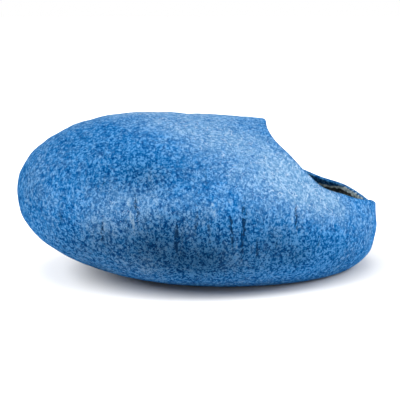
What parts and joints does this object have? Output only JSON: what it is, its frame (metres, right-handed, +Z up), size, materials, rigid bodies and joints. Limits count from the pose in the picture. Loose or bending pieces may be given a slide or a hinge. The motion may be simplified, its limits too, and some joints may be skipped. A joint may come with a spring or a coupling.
{
  "type": "felt cat cave",
  "caption": "Pebble-shaped seamless shell of thick felted wool with a wide slanted mouth, for a cat to sleep in.",
  "frame": {"origin": "on the floor, under the middle of the shell's box", "axes": "+X from the closed back end to the mouth's end, +Y to the shell's left side, +Z up"},
  "size_m": [0.5376, 0.3906, 0.2361],
  "materials": {
    "blue_wool_felt": "matt hand-felted wool, mottled mid blue outside and over the rim with pale fibres, then a narrow off-white band, dark natural wool in the room"
  },
  "bodies": {
    "root": {"felt_shell": "blue_wool_felt"}
  },
  "joints": []
}
